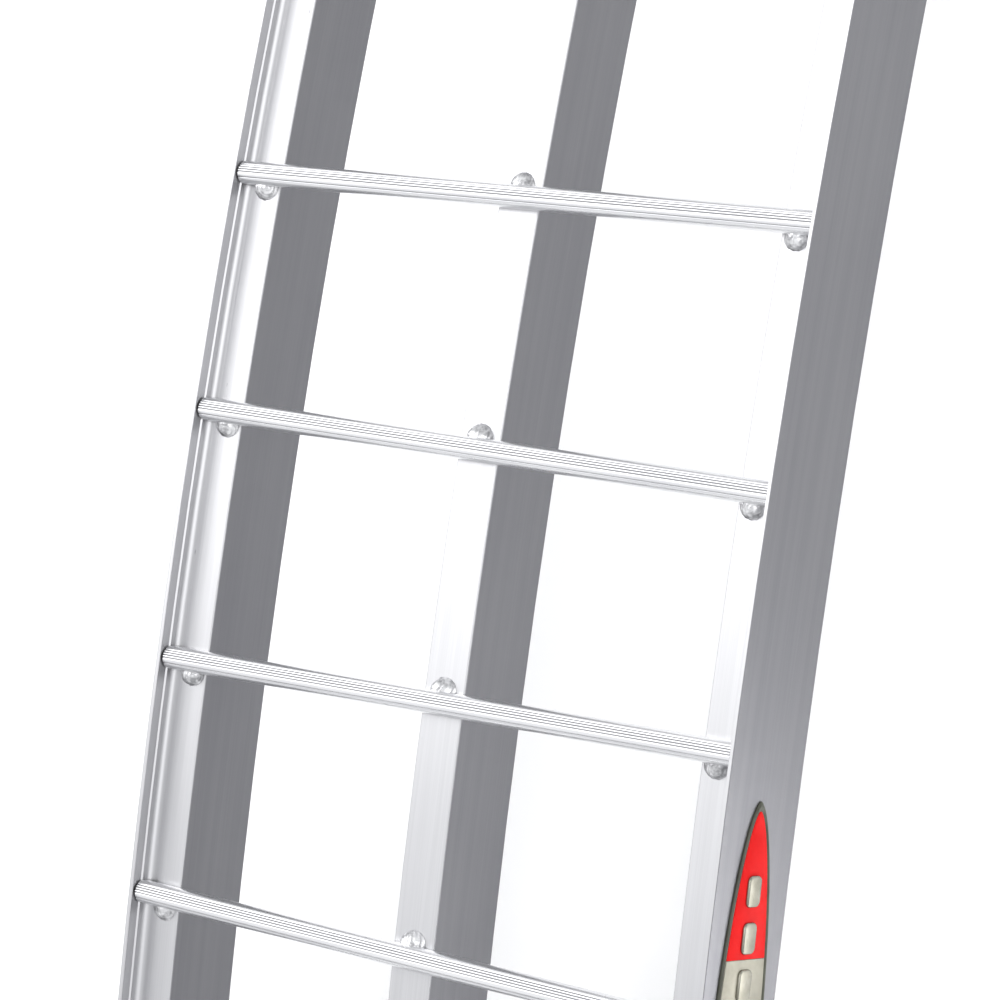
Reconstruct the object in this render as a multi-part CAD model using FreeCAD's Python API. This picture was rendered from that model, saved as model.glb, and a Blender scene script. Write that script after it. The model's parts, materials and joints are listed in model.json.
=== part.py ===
import FreeCAD, Part
import math
import os
from FreeCAD import Vector

# Arched folding loading ramp, in millimetres. X runs across the ramp, Y along it and Z up.
# It stands as an arch on the floor: foot end at -Y, tongue end at +Y.
# A place on the ramp is (x, u, h): across, along the tread's arc from the fold, and above the tread.

# ---- overall sizes ----
arch_radius = 3665.0            # of the stringers' tread faces
stringer_spacing = 172.0        # centre to centre
rung_pitch = 125.0
rungs_per_half = 8
end_stretch = 100.0             # tongue-half stringer left past the last rung's half pitch

# ---- stringers: rectangular tube, with a side lip on the outer two ----
stringer_width = 25.5
stringer_depth = 46.0
stringer_wall = 2.4
corner_radius = 0.8
lip_height = 11.4
lip_thickness = 2.4
lip_root_radius = 4.4           # concave corner between lip and tread
lip_ridge = 0.7                 # raised line at the top of that corner
lip_ridge_height = 5.3

# ---- rungs: solid fluted rod with a flat foot, laid across the stringers ----
rung_width = 12.0
rung_foot_cut = 1.8             # taken off the rod's underside to make its flat foot
flute_turn = 17.6               # degrees that the fluted face is turned towards the tongue
narrow_ridge = 14.3             # degrees that each of the three narrow ridges takes
broad_ridge = 29.6              # degrees that the broad ridge on their foot side takes
groove_depth = 0.45
rung_end_gap = 0.9              # to the lips
# Hand welding leaves four of the foot half's rungs a little out of square, in degrees.
rung_skew = {3: -0.42, 4: -0.83, 5: 0.53, 6: -0.47}

# ---- weld beads: on a rung's foot side on the outer stringers, on its tongue side on the centre one ----
bead_margin = 0.8               # to the edges of an outer stringer's flat tread face
bead_radius = 7.8
bead_sink = 1.0                 # the bead's axis below the tread

# ---- centre fold ----
fold_gap = 0.4
pivot_drop = 9.0                # pivot axis below the stringers' undersides
knuckle_clearance = 0.5         # knuckles below the undersides
pivot_bolt_radius = 4.0
pivot_clearance = 0.05
bush_wall = 1.45
lug_inset = 3.0                 # from the stringer's side faces
lug_length = 56.0
lug_weld_leg = 2.6
spacer_margin = 1.0             # inside the knuckle's edge
spacer_side_gap = 0.2
hinge_plate_thickness = 5.0
hinge_plate_length = 72.0
hinge_plate_top = 13.0          # below the tread
hinge_plate_bottom = 4.0        # above the stringer's underside
plate_bolt_at = (18.0, 54.0)    # from the fold
bolt_radius = 4.0
bolt_clearance = 0.2
nut_clearance = 0.05
hex_margin = 3.5                # of a hexagon's corners past the shank
bolt_head_height = 5.3
nut_height = 6.5
bolt_tip = 2.5                  # bolt end past its nut

# ---- foot shoes ----
shoe_sole = 8.0                 # rubber under the stringer's end corner
shoe_cap = 6.0                  # rubber over the stringer's end
shoe_length = 46.0
shoe_round = 2.5
shoe_spigot = 32.0
shoe_top_inset = 1.6            # the cap's top edge below the tread
spigot_clearance = 0.25
shoe_screw_at = 16.0            # from the stringer's end
screw_radius = 2.0
screw_clearance = 0.2
screw_length = 12.0
screw_head_margin = 2.0
screw_head_height = 2.4

# ---- tongue ----
tongue_thickness = 4.0
tongue_reach = 85.0             # past the stringers
tongue_lap = 70.0               # over the stringers
tongue_bend = 5.0               # degrees down from the tread's end
tongue_side_gap = 0.6
tongue_nose_radius = 1.5
pad_thickness = 3.0
pad_inset = 8.0
pin_hole_radius = 5.25
pin_hole_from_end = 26.0
pad_hole_margin = 2.75          # round the pin holes
rivet_radius = 2.4
rivet_clearance = 0.1
rivet_head_margin = 2.6
rivet_head_height = 1.8
rivet_tail_margin = 1.2
rivet_tail_height = 2.0
rivet_plug_gap = 4.0            # from the end plug's spigot to the nearer rivets' tails
rivet_lap_margin = 18.0         # from the farther rivets to the lapping edge

# ---- end plugs in the tongue end of the stringers ----
plug_flange = 2.5
plug_flange_inset = 1.6
plug_spigot = 12.0

# ---- side badge ----
badge_length = 260.0
badge_half_width = 19.4
badge_start = 582.0             # its fold-side tip, from the fold
badge_power = 0.6               # how full its pointed oval is
badge_points = 8
badge_thickness = 1.0
badge_rim = 2.2
badge_inlay = 0.5
badge_red_length = 74.0
badge_seam = 0.3
bar_count = 9                   # plain raised bars in a row along the badge's middle
bar_length = 15.0
bar_width = 10.0
bar_height = 1.1
bar_step = 22.0

# ---- worked out from the sizes above ----
half_length = rungs_per_half * rung_pitch + end_stretch
half_width = stringer_width / 2
rung_height = rung_width - rung_foot_cut
outer_x = stringer_spacing + half_width
lip_inner_x = outer_x - lip_thickness
root_x = lip_inner_x - lip_ridge - lip_root_radius
underside_radius = arch_radius - stringer_depth
flat_inner_x = stringer_spacing - half_width
flat_middle_x = (root_x + flat_inner_x) / 2
bead_half_length = (root_x - flat_inner_x) / 2 - bead_margin
tongue_angle = half_length / arch_radius
arch_z = -underside_radius * math.cos(tongue_angle)
foot_angle = math.acos((shoe_sole - arch_z) / underside_radius)
foot_length = foot_angle * arch_radius
arch_centre = Vector(0, 0, arch_z)
pivot_h = -stringer_depth - pivot_drop
knuckle_radius = pivot_drop - knuckle_clearance
lug_width = stringer_width - 2 * lug_inset
rivet_tail_radius = rivet_radius + rivet_tail_margin
rivet_at = (plug_spigot + rivet_plug_gap + rivet_tail_radius, tongue_lap - rivet_lap_margin)
across = Vector(1, 0, 0)
stringer_x = {"left": -stringer_spacing, "centre": 0.0, "right": stringer_spacing}
outward = {"left": -1, "centre": 0, "right": 1}
nodes = {}


def at(x, u, h):
    """The point x across, u along the tread's arc and h above the tread."""
    angle = u / arch_radius
    radius = arch_radius + h
    return Vector(x, radius * math.sin(angle), arch_z + radius * math.cos(angle))


def flat_at(x, u, h):
    """The same at the fold, on straight lines: for flat pieces beside the fold."""
    return Vector(x, u, arch_z + arch_radius + h)


def lay_at(shape, u):
    """Moves a shape made round the origin, with h up, onto the tread at u."""
    shape.rotate(Vector(0, 0, 0), across, -math.degrees(u / arch_radius))
    shape.translate(at(0, u, 0))
    return shape


def rounded_wire(corners, place):
    """A closed wire through (p, q, radius) corners; place turns p, q into a point."""
    count = len(corners)
    starts, edges = [], []
    for i in range(count):
        here = Vector(corners[i][0], corners[i][1], 0)
        before = Vector(corners[i - 1][0], corners[i - 1][1], 0) - here
        after = Vector(corners[(i + 1) % count][0], corners[(i + 1) % count][1], 0) - here
        before.normalize()
        after.normalize()
        radius = corners[i][2]
        if radius == 0:
            starts.append((here, here, here))
            continue
        half = before.getAngle(after) / 2
        middle = before + after
        middle.normalize()
        reach = radius / math.tan(half)
        depth = radius / math.sin(half) - radius
        starts.append((here + before * reach, here + middle * depth, here + after * reach))
    for i in range(count):
        first, top, last = [place(p.x, p.y) for p in starts[i]]
        following = starts[(i + 1) % count][0]
        if corners[i][2] > 0:
            edges.append(Part.Arc(first, top, last).toShape())
        edges.append(Part.LineSegment(last, place(following.x, following.y)).toShape())
    return Part.Wire(edges)


def section(corners):
    """A face across the ramp at the fold, from (x, h, radius) corners."""
    return Part.Face(rounded_wire(corners, lambda x, h: flat_at(x, 0, h)))


def swept(face, start, end):
    """The face carried along the ramp's arc from start to end."""
    turned = face.copy()
    turned.rotate(arch_centre, across, -math.degrees(start / arch_radius))
    return turned.revolve(arch_centre, -across, math.degrees((end - start) / arch_radius))


def box_section(x, inset=0.0, radius=corner_radius):
    """The stringer's plain rectangle at x, drawn in by inset."""
    side = half_width - inset
    top, bottom = -inset, inset - stringer_depth
    return section([
        (x - side, bottom, radius),
        (x + side, bottom, radius),
        (x + side, top, radius),
        (x - side, top, radius),
    ])


def stringer_section(name):
    """The tube's section, with its side lip where it is an outer stringer."""
    x = stringer_x[name]
    side = outward[name]
    if side == 0:
        outer = box_section(x)
    else:
        lip_in = side * lip_inner_x
        ridge_in = lip_in - side * lip_ridge
        outer = section([
            (side * outer_x, -stringer_depth, corner_radius),
            (x - side * half_width, -stringer_depth, corner_radius),
            (x - side * half_width, 0, corner_radius),
            (ridge_in, 0, lip_root_radius),
            (ridge_in, lip_ridge_height, 0),
            (lip_in, lip_ridge_height + lip_ridge, 0),
            (lip_in, lip_height, corner_radius / 2),
            (side * outer_x, lip_height, corner_radius / 2),
        ])
    return outer.cut(box_section(x, stringer_wall))


def cross_cylinder(x, length, u, h, radius, place=flat_at):
    """A cylinder along X, starting at x."""
    return Part.makeCylinder(radius, length, place(x, u, h), across)


def hex_prism(x, length, u, h, radius):
    """A hexagon head or nut along X, radius to its corners."""
    turns = [math.radians(60 * i + 30) for i in range(6)]
    points = [flat_at(x, u + radius * math.cos(turn), h + radius * math.sin(turn)) for turn in turns]
    wire = Part.makePolygon(points + points[:1])
    return Part.Face(wire).extrude(Vector(length, 0, 0))


def side_plate(corners, x, thickness, place=flat_at):
    """A flat piece standing along the ramp, from (u, h, radius) corners, thickness towards +X."""
    wire = rounded_wire(corners, lambda u, h: place(x, u, h))
    return Part.Face(wire).extrude(Vector(thickness, 0, 0))


# ---- stringers ----

def make_stringer(name, half):
    profile = stringer_section(name)
    x = stringer_x[name]
    if half == "lower":
        tube = swept(profile, -foot_length, -fold_gap / 2)
        holes = [
            cross_cylinder(x - stringer_width, 2 * stringer_width, -u, bolt_h, bolt_radius + bolt_clearance)
            for u in plate_bolt_at
        ]
        screw_side = outward[name] or 1
        start = x if screw_side > 0 else x - stringer_width
        hole_radius = screw_radius + screw_clearance
        holes.append(cross_cylinder(start, stringer_width, screw_u, screw_h, hole_radius, at))
    else:
        tube = swept(profile, fold_gap / 2, half_length)
        holes = [rivet_hole(name, u) for u in rivet_at]
    return tube.cut(Part.makeCompound(holes)).Solids[0]


def rivet_hole(name, from_end):
    depth = 4 * stringer_wall
    drill = Part.makeCylinder(rivet_radius + rivet_clearance, depth, Vector(0, 0, -depth / 2))
    lay_at(drill, half_length - from_end)
    drill.translate(Vector(outward[name] * flat_middle_x, 0, 0))
    return drill


bolt_h = -(hinge_plate_top + stringer_depth - hinge_plate_bottom) / 2
screw_u = shoe_screw_at - foot_length
screw_h = -stringer_depth / 2

for half in ("lower", "upper"):
    for name in stringer_x:
        nodes[f"{half}_stringer_{name}"] = make_stringer(name, half)


# ---- rungs ----

def rung_face():
    """The section: a rod on a flat foot, with five grooves between ridges that are arcs."""
    radius = rung_width / 2
    rod_h = rung_height - radius
    foot_turn = math.degrees(math.acos(-rod_h / radius))
    last_groove = flute_turn - 1.5 * narrow_ridge
    grooves = [last_groove - broad_ridge]
    grooves += [last_groove + i * narrow_ridge for i in range(4)]

    def on_rod(turn, depth=0.0):
        """A point of the rod, turned from its top towards the tongue, and depth below its surface."""
        angle = math.radians(turn)
        reach = radius - depth
        return Vector(-rung_length / 2, reach * math.sin(angle), rod_h + reach * math.cos(angle))

    turns = [-foot_turn] + grooves + [foot_turn]
    depths = [0.0] + [groove_depth] * len(grooves) + [0.0]
    ends = [on_rod(turn, depth) for turn, depth in zip(turns, depths)]
    edges = [
        Part.Arc(ends[i], on_rod((turns[i] + turns[i + 1]) / 2), ends[i + 1]).toShape()
        for i in range(len(ends) - 1)
    ]
    edges.append(Part.LineSegment(ends[-1], ends[0]).toShape())
    return Part.Face(Part.Wire(edges))


def make_rung():
    """One rung round the origin, its lower end corners cut back over the lips' roots."""
    bar = rung_face().extrude(Vector(rung_length, 0, 0))
    relief = lip_ridge + lip_ridge_height
    for side in (-1, 1):
        end = side * rung_length / 2
        corner = [
            Vector(end + side, -rung_width, -1),
            Vector(end - side * relief, -rung_width, -1),
            Vector(end - side * relief, -rung_width, 0),
            Vector(end, -rung_width, relief),
            Vector(end + side, -rung_width, relief),
        ]
        wedge = Part.Face(Part.makePolygon(corner + corner[:1])).extrude(Vector(0, 2 * rung_width, 0))
        bar = bar.cut(wedge)
    return bar.Solids[0]


def rung_u(half, number):
    distance = (number - 0.5) * rung_pitch
    return distance if half == "upper" else -distance


def skew_of(half, number):
    return rung_skew.get(number, 0.0) if half == "lower" else 0.0


rung_length = 2 * (lip_inner_x - rung_end_gap)
plain_rung = make_rung()
for half in ("lower", "upper"):
    for number in range(1, rungs_per_half + 1):
        rung = plain_rung.copy()
        rung.rotate(Vector(0, 0, 0), Vector(0, 0, 1), skew_of(half, number))
        nodes[f"{half}_rung_{number}"] = lay_at(rung, rung_u(half, number))


# ---- weld beads ----

def make_bead(turn):
    """A bead beside a rung at the origin, on its +u side or, turned 180 degrees, on its -u side.

    It is an arc turned about X, less the rung and the tread.
    """
    left, right = Vector(-bead_half_length, 0, 0), Vector(bead_half_length, 0, 0)
    arc = Part.Arc(left, Vector(0, bead_radius, 0), right).toShape()
    profile = Part.Face(Part.Wire([arc, Part.LineSegment(right, left).toShape()]))
    bead = profile.revolve(Vector(0, 0, 0), across, 360)
    bead.translate(Vector(0, rung_width / 2, -bead_sink))
    width = 2 * (bead_half_length + bead_radius + rung_width)
    under = Part.makeBox(width, width, width, Vector(-width / 2, -width / 2, -width))
    behind = Part.makeBox(width, width, width, Vector(-width / 2, -width, -width / 2))
    bead = bead.cut([under, behind])
    bead.rotate(Vector(0, 0, 0), Vector(0, 0, 1), turn)
    bar = rung_face().extrude(Vector(rung_length, 0, 0))
    return bead.cut(bar).removeSplitter().Solids[0]


tongue_side_bead = make_bead(0)
foot_side_bead = make_bead(180)
for half in ("lower", "upper"):
    for name in stringer_x:
        side = outward[name]
        beads = []
        for number in range(1, rungs_per_half + 1):
            bead = (foot_side_bead if side else tongue_side_bead).copy()
            bead.translate(Vector(side * flat_middle_x, 0, 0))
            bead.rotate(Vector(0, 0, 0), Vector(0, 0, 1), skew_of(half, number))
            beads.append(lay_at(bead, rung_u(half, number)))
        nodes[f"{half}_welds_{name}"] = Part.makeCompound(beads)


# ---- centre fold ----

def hinge_plate(name, side):
    x = stringer_x[name] + side * half_width
    start = x if side > 0 else x - hinge_plate_thickness
    lower_edge = hinge_plate_bottom - stringer_depth
    knuckle_side = knuckle_radius / math.sqrt(2)
    face_u = -1.5 * fold_gap
    outline = [
        (-hinge_plate_length, -hinge_plate_top, 5),
        (face_u, -hinge_plate_top, 3),
        (face_u, pivot_h, 0),
        (-knuckle_side, pivot_h - knuckle_side, 0),
        (-hinge_plate_length / 2, lower_edge, 8),
        (-hinge_plate_length, lower_edge, 5),
    ]
    plate = side_plate(outline, start, hinge_plate_thickness)
    plate = plate.fuse(cross_cylinder(start, hinge_plate_thickness, 0, pivot_h, knuckle_radius))
    hole_radius = pivot_bolt_radius + bolt_clearance / 2
    drills = [cross_cylinder(start, hinge_plate_thickness, 0, pivot_h, hole_radius)]
    for u in plate_bolt_at:
        drills.append(cross_cylinder(start, hinge_plate_thickness, -u, bolt_h, bolt_radius + bolt_clearance))
    return plate.cut(drills).removeSplitter().Solids[0]


def hinge_lug(name):
    x = stringer_x[name] - lug_width / 2
    knuckle_side = knuckle_radius / math.sqrt(2)
    inside = stringer_wall - stringer_depth
    face_u = 2 * fold_gap
    outline = [
        (face_u, inside, 0),
        (lug_length, inside, 0),
        (lug_length, -stringer_depth - pivot_drop / 2, 3),
        (knuckle_side, pivot_h - knuckle_side, 0),
        (face_u, pivot_h, 0),
    ]
    lug = side_plate(outline, x, lug_width)
    lug = lug.fuse(cross_cylinder(x, lug_width, 0, pivot_h, knuckle_radius))
    lug = lug.cut(swept(box_section(stringer_x[name], 0, 0.01), 0, 2 * lug_length))
    hole = cross_cylinder(x, lug_width, 0, pivot_h, pivot_bolt_radius + pivot_clearance + bush_wall)
    return lug.cut(hole).removeSplitter().Solids[0]


def lug_welds(name):
    """A fillet weld along each side of the lug."""
    made = []
    for side in (-1, 1):
        x = stringer_x[name] + side * lug_width / 2
        triangle = section([
            (x, -stringer_depth, 0),
            (x + side * lug_weld_leg, -stringer_depth, 0),
            (x, -stringer_depth - lug_weld_leg, 0),
        ])
        made.append(swept(triangle, knuckle_radius, lug_length - pivot_drop / 2))
    return made


def ring(x, length, u, h, inner, outer):
    return cross_cylinder(x, length, u, h, outer).cut(cross_cylinder(x, length, u, h, inner))


def through_bolt(name, u, h, grip, radius):
    """Bolt and nut along X, with the head towards the ramp's outer side."""
    side = outward[name] or -1
    head_x = stringer_x[name] + side * grip / 2
    nut_x = stringer_x[name] - side * grip / 2
    end_x = nut_x - side * (nut_height + bolt_tip)
    shank = cross_cylinder(min(head_x, end_x), abs(head_x - end_x), u, h, radius)
    hex_radius = radius + hex_margin
    head = hex_prism(head_x if side > 0 else head_x - bolt_head_height, bolt_head_height, u, h, hex_radius)
    nut_start = nut_x - nut_height if side > 0 else nut_x
    nut = hex_prism(nut_start, nut_height, u, h, hex_radius)
    nut = nut.cut(cross_cylinder(nut_start, nut_height, u, h, radius + nut_clearance))
    return shank.fuse(head).removeSplitter(), nut


grip = stringer_width + 2 * hinge_plate_thickness
spacer_thickness = lug_inset - spacer_side_gap
spacer_radius = knuckle_radius - spacer_margin
plate_bolts, plate_nuts, pivot_bolts, pivot_nuts, bushes, spacers, welds = [], [], [], [], [], [], []
for name, x in stringer_x.items():
    nodes[f"hinge_plate_{name}_minus"] = hinge_plate(name, -1)
    nodes[f"hinge_plate_{name}_plus"] = hinge_plate(name, 1)
    nodes[f"hinge_lug_{name}"] = hinge_lug(name)
    bore = pivot_bolt_radius + pivot_clearance
    bushes.append(ring(x - lug_width / 2, lug_width, 0, pivot_h, bore, bore + bush_wall))
    bolt, nut = through_bolt(name, 0, pivot_h, grip, pivot_bolt_radius)
    pivot_bolts.append(bolt)
    pivot_nuts.append(nut)
    for side in (-1, 1):
        start = x + side * half_width
        start = start - spacer_thickness if side > 0 else start
        hole_radius = pivot_bolt_radius + nut_clearance
        spacers.append(ring(start, spacer_thickness, 0, pivot_h, hole_radius, spacer_radius))
    for u in plate_bolt_at:
        bolt, nut = through_bolt(name, -u, bolt_h, grip, bolt_radius)
        plate_bolts.append(bolt)
        plate_nuts.append(nut)
    welds += lug_welds(name)
nodes["plate_bolts"] = Part.makeCompound(plate_bolts)
nodes["plate_nuts"] = Part.makeCompound(plate_nuts)
nodes["pivot_bolts"] = Part.makeCompound(pivot_bolts)
nodes["pivot_nuts"] = Part.makeCompound(pivot_nuts)
nodes["pivot_bushes"] = Part.makeCompound(bushes)
nodes["pivot_spacers"] = Part.makeCompound(spacers)
nodes["lug_welds"] = Part.makeCompound(welds)


# ---- foot shoes ----

shoe_top = at(0, -foot_length, -shoe_top_inset)
foot_along = Vector(0, math.cos(foot_angle), math.sin(foot_angle))
cap_top = shoe_top - foot_along * shoe_cap
heel_y = cap_top.y + cap_top.z * math.tan(foot_angle)


def foot_shoe(name):
    """Rubber cap and wedge sole, with a spigot up the tube."""
    x = stringer_x[name]
    under = at(x, shoe_length - foot_length, stringer_wall - stringer_depth)
    outline = [
        (cap_top.y, cap_top.z, shoe_round),
        (heel_y, 0, shoe_round),
        (heel_y + shoe_length, 0, shoe_round),
        (under.y, under.z, 0),
        (shoe_top.y, shoe_top.z, 0),
    ]
    shoe = side_plate(outline, x - half_width, stringer_width, Vector)
    shoe = shoe.cut(swept(box_section(x, 0, 0.01), -foot_length, 3 * shoe_length - foot_length))
    inset = stringer_wall + spigot_clearance
    spigot = swept(box_section(x, inset), -foot_length - shoe_cap / 2, shoe_spigot - foot_length)
    start = screw_start(name)
    drill = cross_cylinder(start, screw_length, screw_u, screw_h, screw_radius + nut_clearance, at)
    return shoe.fuse(spigot).cut(drill).removeSplitter().Solids[0]


def screw_start(name):
    """The lower x of a screw's shank, which goes in from the stringer's outer side face."""
    side = outward[name] or 1
    face_x = stringer_x[name] + side * half_width
    return face_x - screw_length if side > 0 else face_x


def foot_screw(name):
    side = outward[name] or 1
    face_x = stringer_x[name] + side * half_width
    shank = cross_cylinder(screw_start(name), screw_length, screw_u, screw_h, screw_radius, at)
    head_x = face_x if side > 0 else face_x - screw_head_height
    head_radius = screw_radius + screw_head_margin
    head = cross_cylinder(head_x, screw_head_height, screw_u, screw_h, head_radius, at)
    return shank.fuse(head).removeSplitter()


for name in stringer_x:
    nodes[f"foot_shoe_{name}"] = foot_shoe(name)
nodes["foot_screws"] = Part.makeCompound([foot_screw(name) for name in stringer_x])


# ---- end plugs ----

def end_plug(name):
    x = stringer_x[name]
    flange = swept(box_section(x, plug_flange_inset), half_length, half_length + plug_flange)
    inset = stringer_wall + spigot_clearance
    spigot = swept(box_section(x, inset), half_length - plug_spigot, half_length + plug_flange / 2)
    return flange.fuse(spigot).removeSplitter().Solids[0]


for name in stringer_x:
    nodes[f"end_plug_{name}"] = end_plug(name)


# ---- tongue ----

bend = math.radians(tongue_bend)
tongue_slope = tongue_angle + bend
tongue_along = Vector(0, math.cos(tongue_slope), -math.sin(tongue_slope))
tongue_up = Vector(0, math.sin(tongue_slope), math.cos(tongue_slope))
tongue_root = at(0, half_length, 0)


def on_tongue(x, reach, height):
    """A point on the tongue past the stringers: height above its underside."""
    return tongue_root + Vector(x, 0, 0) + tongue_along * reach + tongue_up * height


def tongue_plate():
    """One plate, curved with the tread where it laps it and then bent down and flat."""
    lap = half_length - tongue_lap
    middle = half_length - tongue_lap / 2
    up_mid = at(0, half_length, 1) - tongue_root + tongue_up
    up_mid.normalize()
    top_root = tongue_root + up_mid * (tongue_thickness / math.cos(bend / 2))
    low_tip = on_tongue(0, tongue_reach, 0)
    high_tip = on_tongue(0, tongue_reach, tongue_thickness)
    edges = [
        Part.Arc(at(0, lap, 0), at(0, middle, 0), tongue_root).toShape(),
        Part.LineSegment(tongue_root, low_tip).toShape(),
        Part.LineSegment(low_tip, high_tip).toShape(),
        Part.LineSegment(high_tip, top_root).toShape(),
        Part.Arc(top_root, at(0, middle, tongue_thickness), at(0, lap, tongue_thickness)).toShape(),
        Part.LineSegment(at(0, lap, tongue_thickness), at(0, lap, 0)).toShape(),
    ]
    half_plate = root_x - tongue_side_gap
    face = Part.Face(Part.Wire(edges))
    face.translate(Vector(-half_plate, 0, 0))
    plate = face.extrude(Vector(2 * half_plate, 0, 0))
    nose = [e for e in plate.Edges if abs(e.CenterOfMass.y - high_tip.y) < 0.01 and e.Length > half_plate]
    plate = plate.makeFillet(tongue_nose_radius, nose)
    drills = [tongue_drill(x, pin_hole_radius) for x in pin_x]
    for name in stringer_x:
        for from_end in rivet_at:
            drills.append(rivet_hole(name, from_end))
    return plate.cut(drills).Solids[0]


def tongue_drill(x, radius):
    depth = 4 * tongue_thickness
    start = on_tongue(x, tongue_reach - pin_hole_from_end, -depth / 2)
    return Part.makeCylinder(radius, depth, start, tongue_up)


def tongue_pad():
    """Rubber under the free part of the tongue."""
    side = root_x - tongue_side_gap - pad_inset
    near, far = pad_inset, tongue_reach - pad_inset
    corners = [(-side, near, 6), (side, near, 6), (side, far, 6), (-side, far, 6)]
    face = Part.Face(rounded_wire(corners, lambda x, reach: on_tongue(x, reach, 0)))
    pad = face.extrude(tongue_up * -pad_thickness)
    return pad.cut([tongue_drill(x, pin_hole_radius + pad_hole_margin) for x in pin_x]).Solids[0]


def tongue_rivet(name, from_end):
    head_h = tongue_thickness
    head_radius = rivet_radius + rivet_head_margin
    dome_radius = (head_radius ** 2 + rivet_head_height ** 2) / (2 * rivet_head_height)
    dome = Part.makeSphere(dome_radius, Vector(0, 0, head_h + rivet_head_height - dome_radius))
    dome = dome.common(Part.makeCylinder(head_radius, rivet_head_height, Vector(0, 0, head_h)))
    tail_h = -stringer_wall - rivet_tail_height
    shank = Part.makeCylinder(rivet_radius, head_h - tail_h, Vector(0, 0, tail_h))
    tail = Part.makeCylinder(rivet_tail_radius, rivet_tail_height - rivet_clearance, Vector(0, 0, tail_h))
    rivet = shank.fuse([dome, tail]).removeSplitter()
    lay_at(rivet, half_length - from_end)
    rivet.translate(Vector(outward[name] * flat_middle_x, 0, 0))
    return rivet


pin_x = (-stringer_spacing / 2, stringer_spacing / 2)
nodes["tongue_plate"] = tongue_plate()
nodes["tongue_pad"] = tongue_pad()
nodes["tongue_rivets"] = Part.makeCompound([tongue_rivet(n, u) for n in stringer_x for u in rivet_at])


# ---- side badge: pointed oval on the right stringer's outer side ----

badge_u = -badge_start - badge_length / 2
badge_h = (lip_height - stringer_depth) / 2


def badge_oval(inset, x, thickness):
    """The badge's outline drawn in by inset, thickness outwards from x."""
    long_half = badge_length / 2 - 2 * inset
    wide_half = badge_half_width - inset
    steps = [-math.cos(math.pi * i / badge_points) for i in range(badge_points + 1)]
    sides = []
    for sign in (1, -1):
        points = [
            Vector(0, long_half * s, sign * wide_half * max(0.0, 1 - s * s) ** badge_power)
            for s in steps
        ]
        curve = Part.BSplineCurve()
        curve.interpolate(points)
        sides.append(curve.toShape())
    oval = Part.Face(Part.Wire(sides)).extrude(Vector(thickness, 0, 0))
    oval.translate(Vector(x, 0, badge_h))
    return lay_at(oval, badge_u)


def badge_block(from_tip, length, x, thickness, half_high):
    """A block across the badge, from_tip along it, for cutting and for the raised bars."""
    start = badge_length / 2 - from_tip - length
    block = Part.makeBox(thickness, length, 2 * half_high, Vector(x, start, badge_h - half_high))
    return lay_at(block, badge_u)


inlay_x = outer_x + badge_thickness
nodes["badge_base"] = badge_oval(0, outer_x, badge_thickness)
inlay = badge_oval(badge_rim, inlay_x, badge_inlay)
red_zone = badge_block(0, badge_red_length, inlay_x, badge_inlay, stringer_depth)
silver_zone = badge_block(badge_red_length + badge_seam, badge_length, inlay_x, badge_inlay, stringer_depth)
nodes["badge_red_field"] = inlay.common(red_zone).Solids[0]
nodes["badge_silver_field"] = inlay.common(silver_zone).Solids[0]
bar_first = (badge_length - (bar_count - 1) * bar_step - bar_length) / 2
bars = [
    badge_block(bar_first + i * bar_step, bar_length, inlay_x + badge_inlay, bar_height, bar_width / 2)
    for i in range(bar_count)
]
nodes["badge_bars"] = Part.makeCompound(bars)


# ---- centre the ramp on the origin and write it ----

middle_y = (nodes["foot_shoe_centre"].BoundBox.YMin + nodes["tongue_plate"].BoundBox.YMax) / 2
shift = Vector(0, -middle_y, 0)
os.makedirs("parts", exist_ok=True)
for name, shape in nodes.items():
    shape.translate(shift)
    shape.exportStep(f"parts/{name}.step")

pivot = flat_at(0, 0, pivot_h) + shift
sole_y = heel_y + shoe_length / 2 + shift.y
pad_middle = on_tongue(0, tongue_reach / 2, -pad_thickness) + shift
pin_hole = on_tongue(pin_x[1], tongue_reach - pin_hole_from_end, tongue_thickness / 2) + shift
print("nodes", len(nodes))
print("fold pivot", round(pivot.y, 3), round(pivot.z, 3))
print("arch centre", round(shift.y, 3), round(arch_z, 3))
print("sole face y", round(sole_y, 3))
print("pad face", [round(v, 4) for v in pad_middle])
print("tongue up", [round(v, 6) for v in tongue_up])
print("pin hole", [round(v, 4) for v in pin_hole])
print("volume", round(sum(s.Volume for s in nodes.values())))
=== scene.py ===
# %% [markdown]
# # An arched loading ramp in Blender
# The ramp is a ladder of aluminium: three long box tubes bent to one arc, with fluted bars welded
# across them. It folds in the middle. The sizes, places and joint come from a finished engineering
# model, which is loaded first and never moved. What Blender adds is the look: crisp rolled edges,
# rippled weld beads, a bevelled badge, threads, rubber and the fine lines that a die leaves in metal.

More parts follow.
